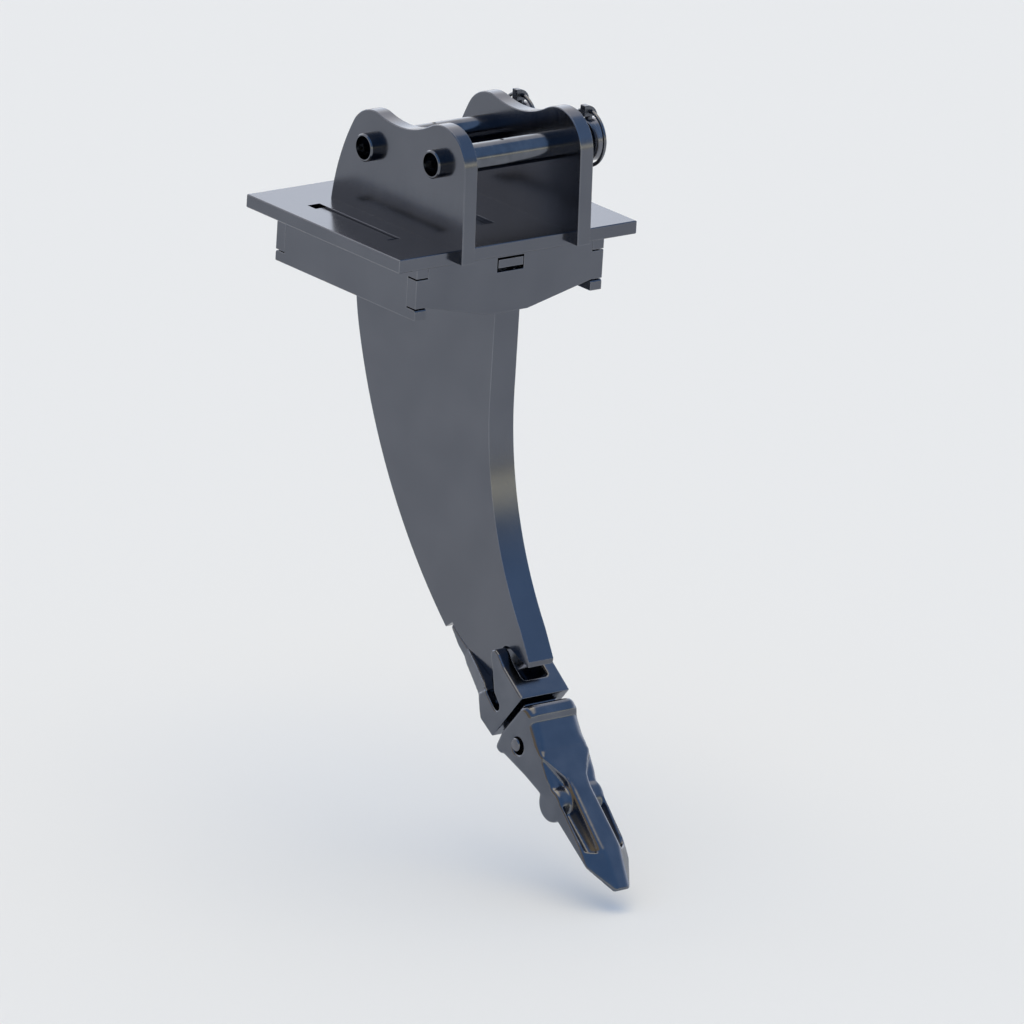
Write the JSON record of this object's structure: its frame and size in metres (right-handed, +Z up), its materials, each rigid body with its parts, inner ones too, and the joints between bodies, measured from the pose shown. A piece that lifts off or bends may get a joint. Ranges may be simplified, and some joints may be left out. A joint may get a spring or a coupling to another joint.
{
  "type": "ripper shank tooth",
  "caption": "Excavator ripper: pin-on hitch ears on a box head, one thick curved shank, and a bolt-free adapter carrying a replaceable pointed digging tooth.",
  "frame": {"origin": "centre of the front hitch pin, midway between the two ears", "axes": "+Z up, -Y towards the digging side, +X towards the locked ends of the hitch pins"},
  "size_m": [0.312, 0.5016, 0.7691],
  "materials": {
    "plate_steel": "polished dark grey steel plate",
    "cast_steel": "smooth polished steel casting",
    "pin_steel": "ground and polished",
    "spring_steel": "bright drawn wire",
    "nipple_steel": "zinc plated"
  },
  "bodies": {
    "root": {"top_plate": "plate_steel", "left_ear": "plate_steel", "right_ear": "plate_steel", "left_skirt_plate": "plate_steel", "right_skirt_plate": "plate_steel", "front_cross_plate": "plate_steel", "rear_cross_plate": "plate_steel", "shank": "plate_steel", "nose_adapter": "cast_steel", "tooth": "cast_steel", "tooth_pin": "pin_steel", "front_hitch_pin": "pin_steel", "rear_hitch_pin": "pin_steel", "front_pin_collar": "pin_steel", "rear_pin_collar": "pin_steel", "front_linch_pin": "pin_steel", "rear_linch_pin": "pin_steel", "tooth_pin_retainer": "spring_steel", "front_grease_nipple": "nipple_steel", "rear_grease_nipple": "nipple_steel"},
    "front_ring": {"front_linch_ring": "spring_steel"},
    "rear_ring": {"rear_linch_ring": "spring_steel"}
  },
  "joints": [
    {"name": "front_ring_hinge", "type": "hinge", "parent": "root", "child": "front_ring", "pos_m": [0.11, 0, 0.031], "axis": [0, -1, 0], "range_deg": [-20, 240]},
    {"name": "rear_ring_hinge", "type": "hinge", "parent": "root", "child": "rear_ring", "pos_m": [0.11, 0.1143, 0.0185], "axis": [0, -1, 0], "range_deg": [-20, 240]}
  ]
}
